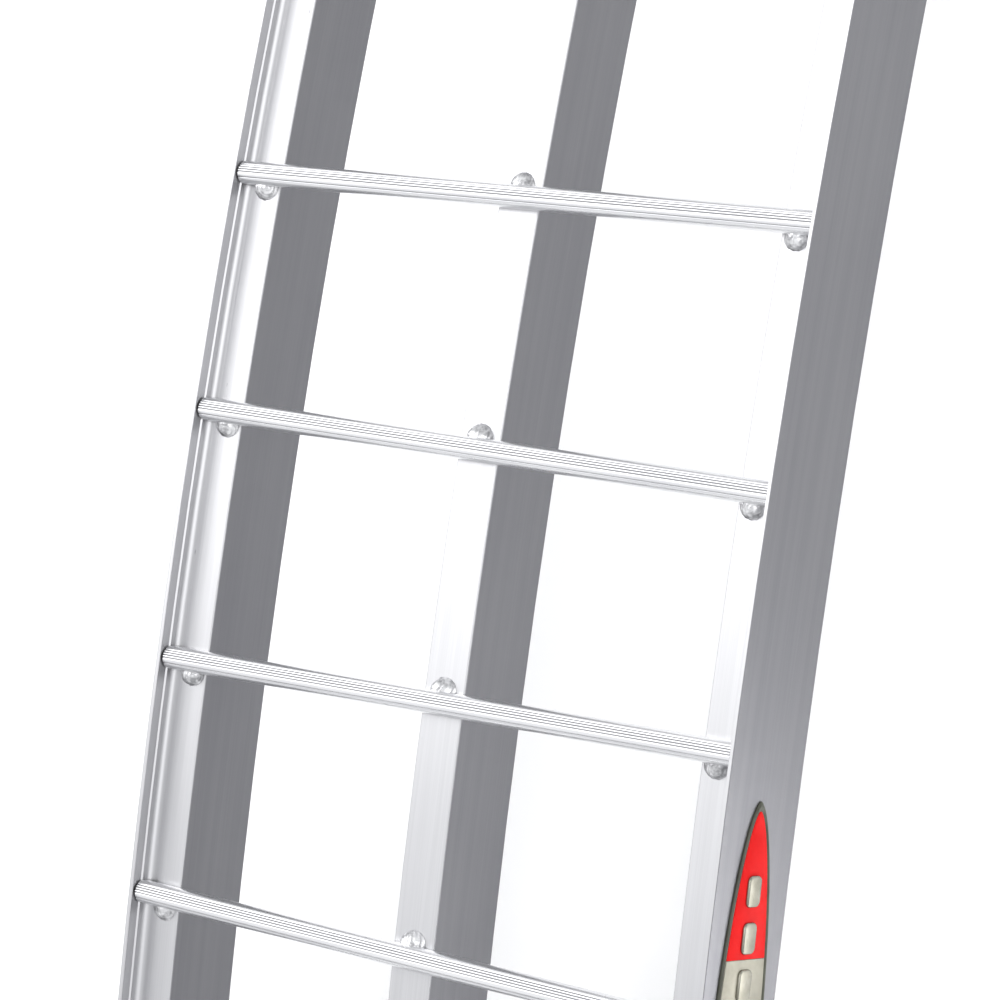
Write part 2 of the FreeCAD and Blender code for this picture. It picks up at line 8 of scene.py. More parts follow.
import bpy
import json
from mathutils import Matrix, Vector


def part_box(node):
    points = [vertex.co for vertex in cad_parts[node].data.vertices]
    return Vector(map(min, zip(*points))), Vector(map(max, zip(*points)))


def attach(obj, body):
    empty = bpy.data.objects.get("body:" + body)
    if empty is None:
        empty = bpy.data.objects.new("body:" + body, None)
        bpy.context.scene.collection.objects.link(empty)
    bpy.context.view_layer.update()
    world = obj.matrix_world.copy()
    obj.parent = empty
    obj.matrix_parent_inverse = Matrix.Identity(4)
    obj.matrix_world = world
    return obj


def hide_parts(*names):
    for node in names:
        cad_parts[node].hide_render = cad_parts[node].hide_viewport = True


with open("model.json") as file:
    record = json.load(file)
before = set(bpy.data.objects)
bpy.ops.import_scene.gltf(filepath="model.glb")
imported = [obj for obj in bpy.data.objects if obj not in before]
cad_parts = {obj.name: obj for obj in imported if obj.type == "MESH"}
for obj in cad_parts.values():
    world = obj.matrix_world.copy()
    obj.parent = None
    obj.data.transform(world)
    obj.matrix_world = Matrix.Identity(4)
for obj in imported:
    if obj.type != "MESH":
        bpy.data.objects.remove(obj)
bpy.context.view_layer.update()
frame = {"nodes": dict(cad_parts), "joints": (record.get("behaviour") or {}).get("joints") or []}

# %% [markdown]
# ## The modules that the lesson uses
# bmesh shapes every new piece, and mathutils turns and places it. The beads' small differences come
# from one seeded random stream, so the scene is the same each time it runs.

# %% Modules and the unit
import json
import math
import random

import bmesh
import bpy
from mathutils import Matrix, Vector

MM = 0.001
print("one millimetre is", MM, "metres")

# %% [markdown]
# ## A way to point at places on an arc
# Everything on the ramp follows one big arc, so a place is easier to say as: how far along the arc
# from the fold, how far across, and how high above the tread. One matrix turns such a place into
# the model's own frame. The arc's centre hangs straight below the fold's pivot.

# %% The arc that the ramp follows
ARC_RADIUS = 3665 * MM
PIVOT_BELOW_TREAD = 55 * MM

pivot = Vector(frame["joints"][0]["pos_m"])
arc_centre = pivot + Vector((0, 0, PIVOT_BELOW_TREAD - ARC_RADIUS))


def on_arc(along, across=0.0, above=0.0):
    """The matrix that lays a piece, made round the origin with +Z up, on the tread."""
    turn = Matrix.Rotation(-along / ARC_RADIUS, 4, "X")
    return Matrix.Translation(arc_centre) @ turn @ Matrix.Translation((across, 0, ARC_RADIUS + above))


def along_of(node):
    """How far along the arc from the fold a node's middle is."""
    low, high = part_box(node)
    middle = (low + high) / 2 - arc_centre
    return math.atan2(middle.y, middle.z) * ARC_RADIUS


print("arc centre", [round(v, 4) for v in arc_centre])

# %% [markdown]
# ## The camera
# A long lens, close to 146 mm, stands about two metres off, over the ramp's right side and looking
# down across the foot half. The camera is placed from a point on the tread, then rolled about its
# own line of sight so that the ramp leans across the picture.

# %% Camera
LENS = 145.9                                             # millimetres, on Blender's own 36 mm sensor
VIEW_ALONG = -439.8 * MM                                 # the tread point that the places start from
CAMERA_PLACE = Vector((1263.6, -46.0, 1523.7)) * MM
CAMERA_TARGET = Vector((18.0, -20.3, 0.0)) * MM
CAMERA_ROLL = math.radians(-69.64)

tread_frame = on_arc(VIEW_ALONG)
camera_data = bpy.data.cameras.new("camera")
camera_data.lens = LENS
camera = bpy.data.objects.new("camera", camera_data)
bpy.context.scene.collection.objects.link(camera)
sight = tread_frame @ CAMERA_TARGET - tread_frame @ CAMERA_PLACE
camera.rotation_mode = "QUATERNION"
roll = Matrix.Rotation(CAMERA_ROLL, 3, "Z").to_quaternion()
camera.rotation_quaternion = sight.to_track_quat("-Z", "Y") @ roll
camera.location = tread_frame @ CAMERA_PLACE
camera_data.clip_start = 50 * MM
camera_data.clip_end = 100
bpy.context.scene.camera = camera
print("camera", [round(v, 3) for v in camera.location], "distance", round(sight.length, 3))

# %% [markdown]
# ## Colours and node helpers
# Colours are picked as sRGB hex values, as on a colour card, and a shader wants linear light, so one
# function converts them. Another small function adds a node with its settings and its links, which
# keeps each material short enough to read.

# %% Colours
def linear(hex_colour):
    """An sRGB hex colour as a linear RGBA tuple, by the sRGB standard's own curve."""
    channels = [int(hex_colour[i:i + 2], 16) / 255 for i in (1, 3, 5)]
    return tuple(c / 12.92 if c <= 0.04045 else ((c + 0.055) / 1.055) ** 2.4 for c in channels) + (1.0,)


print("mid grey in linear light", [round(c, 3) for c in linear("#808080")[:3]])


# %% [markdown]
# A shader is a graph, and most of its nodes are added alike, so one function takes a node's kind, its
# links, its values and its settings. Another starts a material off with its shader.

# %% Nodes
def add(tree, kind, links=(), inputs=(), **settings):
    """Adds a node: settings are its properties, inputs its values, links (socket, source) pairs."""
    node = tree.nodes.new(kind)
    for name, value in settings.items():
        setattr(node, name, value)
    for socket, value in inputs:
        node.inputs[socket].default_value = value
    for socket, source in links:
        tree.links.new(source, node.inputs[socket])
    return node


def new_material(name, metallic, roughness, **sockets):
    """A material with its tree, its shader and the Object coordinates to build on."""
    material = bpy.data.materials.new(name)
    material.use_nodes = True
    tree = material.node_tree
    shader = tree.nodes["Principled BSDF"]
    shader.inputs["Metallic"].default_value = metallic
    shader.inputs["Roughness"].default_value = roughness
    for socket, value in sockets.items():
        shader.inputs[socket.replace("_", " ")].default_value = value
    place = add(tree, "ShaderNodeTexCoord").outputs["Object"]
    return material, tree, shader, place


print("node helpers", add.__name__, new_material.__name__)


# %% Ramps, ranges and bumps
def ramp_between(tree, factor, low_colour, high_colour, start=0.3, end=0.7):
    """A colour that runs from one to the other as factor goes from start to end."""
    ramp = add(tree, "ShaderNodeValToRGB", [("Fac", factor)])
    ramp.color_ramp.elements[0].position = start
    ramp.color_ramp.elements[0].color = linear(low_colour)
    ramp.color_ramp.elements[1].position = end
    ramp.color_ramp.elements[1].color = linear(high_colour)
    return ramp.outputs["Color"]


def spread(tree, factor, low, high):
    """factor, from 0 to 1, mapped to low to high."""
    mapped = add(tree, "ShaderNodeMapRange", [("Value", factor)], [("To Min", low), ("To Max", high)])
    return mapped.outputs["Result"]


def bumped(tree, shader, height, distance):
    """Turns a height into the shader's normal, at full strength; distance is the real height in metres."""
    bump = add(tree, "ShaderNodeBump", [("Height", height)], [("Distance", distance), ("Strength", 1.0)])
    tree.links.new(bump.outputs["Normal"], shader.inputs["Normal"])


print("pattern helpers", ramp_between.__name__, spread.__name__, bumped.__name__)

# %% [markdown]
# ## Mill-finish aluminium that follows the arc
# An extrusion comes out of its die with fine straight lines along its length. Straight lines would
# run off a bent tube, so the pattern's coordinates are bent too: across, height above the tread, and
# distance along the arc. A noise stretched far along the last one draws the die lines, a slower
# noise adds the broad dull streaks, and a few short scratches lie along them.
# The tread and the inside of the lips are painted lighter, a painted light, while the side faces are painted
# darker, a painted shade for how the light falls on them. The same bent coordinates tell the two apart.

# %% Coordinates bent along the arc
def arc_coordinates(tree, place):
    """Object coordinates turned into (across, above the tread, along the arc), all in metres."""
    centred = add(tree, "ShaderNodeMapping", [("Vector", place)], [("Location", tuple(-arc_centre))])
    parts = add(tree, "ShaderNodeSeparateXYZ", [("Vector", centred.outputs["Vector"])])
    y, z = parts.outputs["Y"], parts.outputs["Z"]
    flat = add(tree, "ShaderNodeCombineXYZ", [("X", y), ("Y", z)])
    length = add(tree, "ShaderNodeVectorMath", [("Vector", flat.outputs["Vector"])], operation="LENGTH")
    above = add(
        tree, "ShaderNodeMath", [(0, length.outputs["Value"])], [(1, ARC_RADIUS)], operation="SUBTRACT",
    )
    angle = add(tree, "ShaderNodeMath", [(0, y), (1, z)], operation="ARCTAN2")
    along = add(
        tree, "ShaderNodeMath", [(0, angle.outputs["Value"])], [(1, ARC_RADIUS)], operation="MULTIPLY",
    )
    bent = add(tree, "ShaderNodeCombineXYZ", [
        ("X", parts.outputs["X"]), ("Y", above.outputs["Value"]), ("Z", along.outputs["Value"]),
    ])
    return bent.outputs["Vector"]


def stretched_noise(tree, vector, grain, detail=2.0, seed=0.0):
    """Noise with its own grain size along each axis, in metres."""
    scaled = add(
        tree, "ShaderNodeMapping", [("Vector", vector)],
        [("Scale", tuple(1 / g for g in grain)), ("Location", (seed, seed, seed))],
    )
    noise = add(
        tree, "ShaderNodeTexNoise", [("Vector", scaled.outputs["Vector"])],
        [("Scale", 1.0), ("Detail", detail), ("Roughness", 0.55)],
    )
    return noise.outputs["Fac"]


print("coordinates bent to a radius of", round(ARC_RADIUS, 3), "m")

# %% [markdown]
# ## Where the light and the shade are painted
# Two limits tell the painted light from the painted shade: a height, just under the tread, and a distance
# across, just inside the outer faces. Multiplying the two shares leaves the tread and the inside of the lips
# painted light, and nothing else; the side faces keep the painted shade.

# %% Painted light on the tread, painted shade on the sides
SIDE_SHADE_LOW = -1.2 * MM      # the painted shade on the sides ends where the tube's top corners start to round over
SIDE_SHADE_HIGH = -0.2 * MM
OUTER_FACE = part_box("lower_stringer_right")[1].x    # the outer faces are painted dark, a painted shade, up to the top of the lip
OUTER_EDGE = 0.5 * MM


def painted_lit_share(tree, bent):
    """1 on the tread and inside the lips, which are painted light; 0 on the side faces, which are painted
    shade.
    """
    parts = add(tree, "ShaderNodeSeparateXYZ", [("Vector", bent)])
    above = add(
        tree, "ShaderNodeMapRange", [("Value", parts.outputs["Y"])],
        [("From Min", SIDE_SHADE_LOW), ("From Max", SIDE_SHADE_HIGH)],
    )
    across = add(tree, "ShaderNodeMath", [(0, parts.outputs["X"])], operation="ABSOLUTE")
    inside = add(
        tree, "ShaderNodeMapRange", [("Value", across.outputs["Value"])],
        [("From Min", OUTER_FACE - OUTER_EDGE / 2), ("From Max", OUTER_FACE - OUTER_EDGE)],
    )
    both = add(
        tree, "ShaderNodeMath", [(0, above.outputs["Result"]), (1, inside.outputs["Result"])],
        operation="MULTIPLY",
    )
    return both.outputs["Value"]


print("outer faces at", round(OUTER_FACE / MM, 2), "mm across")

# %% [markdown]
# ## The mill-finish metal itself
# Three noises of different length are averaged into one tone. The finest one also sets the gloss and a
# shallow bump, so a line is paler, duller and a little raised all at once.

# %% Mill-finish aluminium
DIE_LINE = 0.7 * MM       # a real line is nearer 0.2 mm, which would be too fine to see
DIE_LINE_LENGTH = 110 * MM
DIE_LINE_HEIGHT = 0.05 * MM
STREAK = 5 * MM
STREAK_LENGTH = 440 * MM
CLOUD = 60 * MM
CLOUD_LENGTH = 160 * MM
SCRATCH = (1.5 * MM, 1.2 * MM, 9 * MM)
SCRATCH_START, SCRATCH_END = 0.78, 0.86    # of the noise: only its few highest peaks are scratches
SCRATCH_TONE = "#7c7c80"
TONE_START, TONE_END = 0.38, 0.62          # of three noises' mean, which seldom leaves this range
MILL_SWING = 0.06                          # how far the roughness goes up and down


def mill_aluminium(name, base, light, roughness, painted_light_tones=None):
    """Aluminium as the mill leaves it, with no coat: satin grey with lengthwise lines."""
    material, tree, shader, place = new_material(name, 1.0, roughness)
    bent = arc_coordinates(tree, place)
    lines = stretched_noise(tree, bent, (DIE_LINE, DIE_LINE, DIE_LINE_LENGTH), detail=3.0)
    streaks = stretched_noise(tree, bent, (STREAK, STREAK, STREAK_LENGTH), detail=2.0, seed=3.7)
    clouds = stretched_noise(tree, bent, (CLOUD, CLOUD, CLOUD_LENGTH), detail=3.0, seed=9.1)
    scratches = stretched_noise(tree, bent, SCRATCH, detail=1.0, seed=5.3)
    both = add(tree, "ShaderNodeMath", [(0, lines), (1, streaks)], operation="ADD")
    mixed = add(tree, "ShaderNodeMath", [(0, both.outputs["Value"]), (1, clouds)], operation="ADD")
    third = add(tree, "ShaderNodeMath", [(0, mixed.outputs["Value"])], [(1, 1 / 3)], operation="MULTIPLY")
    tone = ramp_between(tree, third.outputs["Value"], base, light, TONE_START, TONE_END)
    # with the lighter pair of tones, the tread and the lips are painted light and the side faces keep the
    # darker base tones as painted shade
    if painted_light_tones:
        bright = ramp_between(tree, third.outputs["Value"], *painted_light_tones, TONE_START, TONE_END)
        lit_and_shaded = add(
            tree, "ShaderNodeMix", [(0, painted_lit_share(tree, bent)), (6, tone), (7, bright)],
            data_type="RGBA",
        )
        tone = lit_and_shaded.outputs[2]
    scuffed = add(
        tree, "ShaderNodeMapRange", [("Value", scratches)],
        [("From Min", SCRATCH_START), ("From Max", SCRATCH_END)],
    )
    marked = add(
        tree, "ShaderNodeMix", [(0, scuffed.outputs["Result"]), (6, tone)], [(7, linear(SCRATCH_TONE))],
        data_type="RGBA",
    )
    tree.links.new(marked.outputs[2], shader.inputs["Base Color"])
    gloss = spread(tree, lines, roughness - MILL_SWING, roughness + MILL_SWING)
    tree.links.new(gloss, shader.inputs["Roughness"])
    bumped(tree, shader, lines, DIE_LINE_HEIGHT)
    return material


# the stringers' dark base tones are painted shade for the side faces, and the lighter pair is painted light
# for the tread and the lips
stringer_metal = mill_aluminium(
    "mill_aluminium_extruded", "#7b7b7f", "#838386", 0.4, painted_light_tones=("#b8b8ba", "#c4c4c6")
)
plate_metal = mill_aluminium("mill_aluminium_rolled", "#a2a2a6", "#b4b4b7", 0.38)
print("mill aluminium", stringer_metal.name, plate_metal.name)

# %% [markdown]
# ## Bright aluminium for the rungs
# The rungs are a smaller, brighter extrusion. Their die lines run across the ramp, so the noise is stretched
# along X and no bending is needed. The grooves are painted darker, a painted shade for the shadow that falls
# in them, so the rung's mesh carries an attribute that says how deep in a groove a point is.

# %% Bright aluminium
RUNG_LINE = 0.6 * MM
RUNG_LINE_LENGTH = 160 * MM
RUNG_LINE_HEIGHT = 0.012 * MM
RUNG_CLOUD = 12 * MM
RUNG_CLOUD_LENGTH = 90 * MM
# the colour at the bottom of a groove: painted shade
GROOVE_SHADE_TONE = "#77777b"

rung_metal, tree, shader, place = new_material("bright_aluminium_extruded", 1.0, 0.27)
rung_lines = stretched_noise(tree, place, (RUNG_LINE_LENGTH, RUNG_LINE, RUNG_LINE), detail=2.0, seed=1.3)
rung_clouds = stretched_noise(tree, place, (RUNG_CLOUD_LENGTH, RUNG_CLOUD, RUNG_CLOUD), detail=3.0, seed=6.1)
rung_tone = ramp_between(tree, rung_clouds, "#e9e9eb", "#f4f4f5")
groove_depth = add(tree, "ShaderNodeAttribute", attribute_name="groove")
groove_shaded = add(
    tree, "ShaderNodeMix", [(0, groove_depth.outputs["Fac"]), (6, rung_tone)], [(7, linear(GROOVE_SHADE_TONE))],
    data_type="RGBA",
)
tree.links.new(groove_shaded.outputs[2], shader.inputs["Base Color"])
tree.links.new(spread(tree, rung_lines, 0.22, 0.36), shader.inputs["Roughness"])
bumped(tree, shader, rung_lines, RUNG_LINE_HEIGHT)
print("rung metal", rung_metal.name)

# %% [markdown]
# ## Weld metal
# A bead laid by hand freezes in ripples. The ripples are in the mesh, and the material adds what is
# finer: a frosted grain, with darker soot in patches where the arc blackened the filler.

# %% Weld metal
WELD_GRAIN = 0.5 * MM
WELD_GRAIN_HEIGHT = 0.08 * MM
SOOT_PATCH = 4 * MM

weld_metal, tree, shader, place = new_material("weld_bead_aluminium", 1.0, 0.32)
weld_grain = stretched_noise(tree, place, (WELD_GRAIN,) * 3, detail=3.0, seed=2.2)
weld_soot = stretched_noise(tree, place, (SOOT_PATCH,) * 3, detail=3.0, seed=7.9)
weld_tone = ramp_between(tree, weld_soot, "#a0a0a2", "#ececed", start=0.35, end=0.6)
tree.links.new(weld_tone, shader.inputs["Base Color"])
tree.links.new(spread(tree, weld_grain, 0.2, 0.48), shader.inputs["Roughness"])
bumped(tree, shader, weld_grain, WELD_GRAIN_HEIGHT)
print("weld metal", weld_metal.name)

# %% [markdown]
# ## Zinc-plated steel
# Bolts and hinge plates are steel with a thin passivated zinc coat: grey, a little blue and yellow in
# soft clouds, and glossier than the aluminium.

# %% Zinc-plated steel
ZINC_CLOUD = 11 * MM
ZINC_GRAIN = 0.7 * MM
ZINC_GRAIN_HEIGHT = 0.02 * MM

zinc_steel, tree, shader, place = new_material("zinc_plated_steel", 1.0, 0.3)
zinc_clouds = stretched_noise(tree, place, (ZINC_CLOUD,) * 3, detail=4.0, seed=4.4)
zinc_grain = stretched_noise(tree, place, (ZINC_GRAIN,) * 3, detail=2.0, seed=8.8)
tree.links.new(ramp_between(tree, zinc_clouds, "#aab0b8", "#c9c6b4"), shader.inputs["Base Color"])
tree.links.new(spread(tree, zinc_clouds, 0.22, 0.4), shader.inputs["Roughness"])
bumped(tree, shader, zinc_grain, ZINC_GRAIN_HEIGHT)
print("zinc", zinc_steel.name)

# %% [markdown]
# ## Sintered bronze
# The pivot's bushes are bronze powder pressed and baked, which leaves a brown-gold metal full of
# fine pores. One fine noise gives both the pores' colour and their depth.

# %% Sintered bronze for the bushes
BRONZE_PORE = 0.6 * MM
BRONZE_PORE_DEPTH = 0.03 * MM

bronze, tree, shader, place = new_material("sintered_bronze", 1.0, 0.42)
bronze_pores = stretched_noise(tree, place, (BRONZE_PORE,) * 3, detail=2.0, seed=3.1)
tree.links.new(ramp_between(tree, bronze_pores, "#8a6438", "#c09a62"), shader.inputs["Base Color"])
bumped(tree, shader, bronze_pores, BRONZE_PORE_DEPTH)
print("bronze", bronze.name)

# %% [markdown]
# ## Rubber and nylon
# The shoes and the tongue's pad are moulded rubber, black but never quite black: dust sits in its fine
# texture and lifts it to charcoal. The plugs and spacers are moulded nylon, smoother and glossier.

# %% Rubber and nylon
DUST_PATCH = 14 * MM
DUST_SWING = 0.08          # how far dust takes the roughness up and down


def moulded(name, dark, dusty, roughness, grain, depth):
    """A moulded black: grain is the texture's pitch and depth its height."""
    material, tree, shader, place = new_material(name, 0.0, roughness, IOR=1.5)
    texture = stretched_noise(tree, place, (grain, grain, grain), detail=2.0, seed=1.7)
    dust = stretched_noise(tree, place, (DUST_PATCH,) * 3, detail=4.0, seed=5.5)
    tone = ramp_between(tree, dust, dark, dusty, start=0.38, end=0.68)
    gloss = spread(tree, dust, roughness - DUST_SWING, roughness + DUST_SWING)
    tree.links.new(tone, shader.inputs["Base Color"])
    tree.links.new(gloss, shader.inputs["Roughness"])
    bumped(tree, shader, texture, depth)
    return material


black_rubber = moulded(
    "moulded_rubber", "#1c1c1d", "#2e2e30", roughness=0.62, grain=0.8 * MM, depth=0.12 * MM
)
black_nylon = moulded(
    "moulded_nylon", "#161617", "#202022", roughness=0.42, grain=0.5 * MM, depth=0.04 * MM
)
print("moulded blacks", black_rubber.name, black_nylon.name)

# %% [markdown]
# ## The badge's finishes
# The badge is a cast plate: a dark olive rim, a field of red enamel that changes to a
# champagne-silver one, and metal bars raised on both. Paint that is stoved keeps a faint orange-peel.
# The silver has metal powder in it, so it is partly metallic. Only the rim has a thin clear coat.

# %% Badge finishes
PAINT_DRIFT = 9 * MM
ORANGE_PEEL = 2 * MM
ORANGE_PEEL_HEIGHT = 0.02 * MM
RED_GLOSS = 0.12           # a low specular level, so that the pale room doesn't wash the red out


def enamel(name, deep, fresh, metallic, roughness, coat):
    """Stoved paint or plate: slow colour drift, orange-peel, and as much clear coat as coat says."""
    material, tree, shader, place = new_material(
        name, metallic, roughness, Coat_Weight=coat, Coat_Roughness=0.08, IOR=1.5
    )
    drift = stretched_noise(tree, place, (PAINT_DRIFT,) * 3, detail=3.0, seed=2.9)
    peel = stretched_noise(tree, place, (ORANGE_PEEL,) * 3, detail=1.0, seed=4.1)
    tree.links.new(ramp_between(tree, drift, deep, fresh), shader.inputs["Base Color"])
    bumped(tree, shader, peel, ORANGE_PEEL_HEIGHT)
    return material


badge_red = enamel("red_enamel", "#c30606", "#ce0a0a", metallic=0.0, roughness=0.5, coat=0.0)
badge_silver = enamel("champagne_silver_paint", "#8b887b", "#9c998b", metallic=0.35, roughness=0.42, coat=0.0)
badge_rim = enamel("olive_enamel", "#35362b", "#484a3e", metallic=0.25, roughness=0.4, coat=0.1)
badge_chrome = enamel("champagne_chrome", "#7f7d71", "#98968b", metallic=1.0, roughness=0.24, coat=0.0)
badge_red.node_tree.nodes["Principled BSDF"].inputs["Specular IOR Level"].default_value = RED_GLOSS
print("materials", len(bpy.data.materials))

# %% [markdown]
# ## From a bmesh to a finished piece
# Every new piece ends the same way. Its doubles are merged and its faces turned outwards, its smooth
# faces are marked with the edges over 35 degrees kept sharp, and it rides on a body and stands for the CAD
# nodes that it replaces. The object stays at the origin: the place is in the mesh.

# %% Finish a piece
SHARP = math.radians(35)
SAME_PLACE = 0.001 * MM


def finish_piece(mesh, name, body, finish, slot, *nodes):
    """Makes the object, rides it on its body and hides the CAD nodes that it stands for."""
    bmesh.ops.remove_doubles(mesh, verts=mesh.verts, dist=SAME_PLACE)
    bmesh.ops.recalc_face_normals(mesh, faces=mesh.faces)
    for face in mesh.faces:
        face.smooth = True
    for edge in mesh.edges:
        edge.smooth = edge.is_manifold and edge.calc_face_angle(0) < SHARP
    data = bpy.data.meshes.new(name)
    mesh.to_mesh(data)
    mesh.free()
    data.materials.append(finish)
    piece = bpy.data.objects.new(name, data)
    bpy.context.scene.collection.objects.link(piece)
    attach(piece, body)
    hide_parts(*nodes)


print("edges stay sharp over", round(math.degrees(SHARP)), "degrees")

# %% [markdown]
# ## The rungs
# A rung is a solid rod on a flat foot, made as an extrusion is: draw the section, then pull it
# along. The section is one formula: the rod's radius, less a sharp dip at each groove that fades
# back to the rod on both sides. The grooved face is turned a little towards the tongue. Both ends
# are cut square and eased, and the lower corners are cut back so that the bar clears the rounded
# roots of the side lips.

# %% Rung section
RUNG_RADIUS = 6 * MM
RUNG_HEIGHT = 10.2 * MM
FLUTE_TURN = 17.6          # degrees from the top, towards the tongue
NARROW_RIDGE = 14.3        # degrees that one of the three narrow ridges takes
BROAD_RIDGE = 29.6         # degrees that the broad ridge on their foot side takes
GROOVE_DEPTH = 0.45 * MM
RUNG_RELIEF = 6 * MM       # how far in from its end the bar's foot is cut back
RUNG_EDGE = 0.12 * MM
AT_END = 0.01 * MM         # an edge this near the bar's end is on its rim
RUNG_SKEW = {3: -0.42, 4: -0.83, 5: 0.53, 6: -0.47}    # degrees that foot-half rungs stand askew
GROOVE_FADE = 4.0          # degrees over which a groove's wall climbs back to the rod
RIDGE_STEPS = 14           # points across one ridge
FLANK_STEPS = 36           # points from the last groove to the foot

ROD_MIDDLE = RUNG_HEIGHT - RUNG_RADIUS
FOOT_TURN = math.degrees(math.acos(-ROD_MIDDLE / RUNG_RADIUS))
RUNG_FOOT = 2 * RUNG_RADIUS * math.sin(math.radians(FOOT_TURN))


def rung_outline():
    """The section as (y, z) points, from one corner of the foot over the top to the other."""
    last_groove = FLUTE_TURN - 1.5 * NARROW_RIDGE
    grooves = [last_groove - BROAD_RIDGE] + [last_groove + i * NARROW_RIDGE for i in range(4)]
    ends = [-FOOT_TURN] + grooves + [FOOT_TURN]
    turns = []
    for low, high in zip(ends, ends[1:]):
        steps = RIDGE_STEPS if low in grooves and high in grooves else FLANK_STEPS
        shares = [(1 - math.cos(math.pi * i / steps)) / 2 for i in range(steps)]
        turns += [low + (high - low) * share for share in shares]
    points = []
    for turn in turns + [FOOT_TURN]:
        nearest = min(abs(turn - groove) for groove in grooves)
        reach = RUNG_RADIUS - GROOVE_DEPTH * math.exp(-nearest / GROOVE_FADE)
        angle = math.radians(turn)
        points.append((reach * math.sin(angle), ROD_MIDDLE + reach * math.cos(angle)))
    return points


print("rung section", len(rung_outline()), "points, foot", round(RUNG_FOOT / MM, 2), "mm wide")

# %% [markdown]
# ## Pulling the section into a bar
# The outline becomes one face, and extruding it makes the bar. Two slanted cuts take the foot back at
# the ends, and each cut leaves a hole that is filled again, so that the bar stays closed.

# %% Rungs
def fill_cut(mesh, cut):
    """Closes the hole that a bisection left."""
    rims = [e for e in cut["geom_cut"] if isinstance(e, bmesh.types.BMEdge)]
    bmesh.ops.holes_fill(mesh, edges=rims, sides=0)


def make_rung(node, matrix, half_length):
    """One bar, drawn round the origin and laid in place by matrix."""
    mesh = bmesh.new()
    section = [mesh.verts.new((-half_length, y, z)) for y, z in rung_outline()]
    face = mesh.faces.new(section)
    pulled = bmesh.ops.extrude_face_region(mesh, geom=[face], use_keep_orig=True)
    moved = [v for v in pulled["geom"] if isinstance(v, bmesh.types.BMVert)]
    bmesh.ops.translate(mesh, verts=moved, vec=(2 * half_length, 0, 0))
    for side in (-1, 1):
        everything = mesh.verts[:] + mesh.edges[:] + mesh.faces[:]
        corner = Vector((side * (half_length - RUNG_RELIEF), 0, 0))
        slope = Vector((side, 0, -1)).normalized()
        cut = bmesh.ops.bisect_plane(
            mesh, geom=everything, plane_co=corner, plane_no=slope, clear_outer=True
        )
        fill_cut(mesh, cut)
    ends = [e for e in mesh.edges if all(abs(abs(v.co.x) - half_length) < AT_END for v in e.verts)]
    bmesh.ops.bevel(
        mesh, geom=ends, offset=RUNG_EDGE, affect="EDGES", segments=1, profile=0.5, material=-1,
        clamp_overlap=True,
    )
    # how deep in a groove each point is, which the rung material turns into painted shade
    groove = mesh.verts.layers.float.new("groove")
    for vert in mesh.verts:
        depth = RUNG_RADIUS - math.hypot(vert.co.y, vert.co.z - ROD_MIDDLE)
        vert[groove] = min(1.0, max(0.0, depth / GROOVE_DEPTH))
    bmesh.ops.transform(mesh, matrix=matrix, verts=mesh.verts)
    body = "foot_half" if node.startswith("lower") else "tongue_half"
    finish_piece(mesh, node + "_bar", body, rung_metal, "bright_aluminium", node)


rung_place = {}
for half in ("lower", "upper"):
    for number in range(1, 9):
        node = f"{half}_rung_{number}"
        skew = RUNG_SKEW.get(number, 0.0) if half == "lower" else 0.0
        rung_place[node] = on_arc(along_of(node)) @ Matrix.Rotation(math.radians(skew), 4, "Z")
        low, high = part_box(node)
        make_rung(node, rung_place[node], (high.x - low.x) / 2)
print("rungs", len(rung_place))

# %% [markdown]
# ## The weld beads
# Each rung is held by one short weld at each stringer. The welder starts at one end and the puddle
# freezes in rings round that start, so the ripples are waves in the distance from it. A bead starts as a
# sphere: it is squashed to size, rippled, given a thin toe where it has wetted the tread, and
# cut flat where the tread and the rung are. No two are alike, so each draws its own numbers from
# one seeded stream.

# %% Weld beads
BEAD_HALF_LENGTH = 8.2 * MM
BEAD_RADIUS = 7.7 * MM
BEAD_SINK = 1.0 * MM       # how far the sphere's middle lies below the tread
BEAD_INSET = 3.75 * MM     # towards the ramp's middle, because the lip's root takes the outer edge
RIPPLE_PITCH = 1.5 * MM
RIPPLE_DEPTH = 0.16 * MM
FINE_RIPPLE, FINE_RATE = 0.35, 2.7    # a second, shallower ripple and how much closer it lies
LUMP_ALONG, LUMP_ALONG_RATE = 0.05, 2.3    # slow swellings: how large, and how close together
LUMP_OUT, LUMP_OUT_RATE = 0.04, 3.1
BODY_SHARE = 0.95          # a bead's radius before its lumps, ripples and toe
TOE_SPREAD = 0.1           # how far the toe stands out, as a share of the bead
TOE_HEIGHT = 1.0           # millimetres above the sphere's middle
TOE_FADE = 0.35            # millimetres over which the toe runs out
FLATNESS, END_DROP = 0.96, 0.1        # a bead is lower than it is wide, and lower still at its ends
SMALLEST = 0.93            # the smallest bead's size, as a share of the largest's
LEAN = 0.12
PUDDLE_ALONG, PUDDLE_OUT, PUDDLE_UP = (-0.5, -0.2), (0.1, 0.4), 0.6    # where the ripples start
BEAD_SIDES, BEAD_RINGS = 56, 36


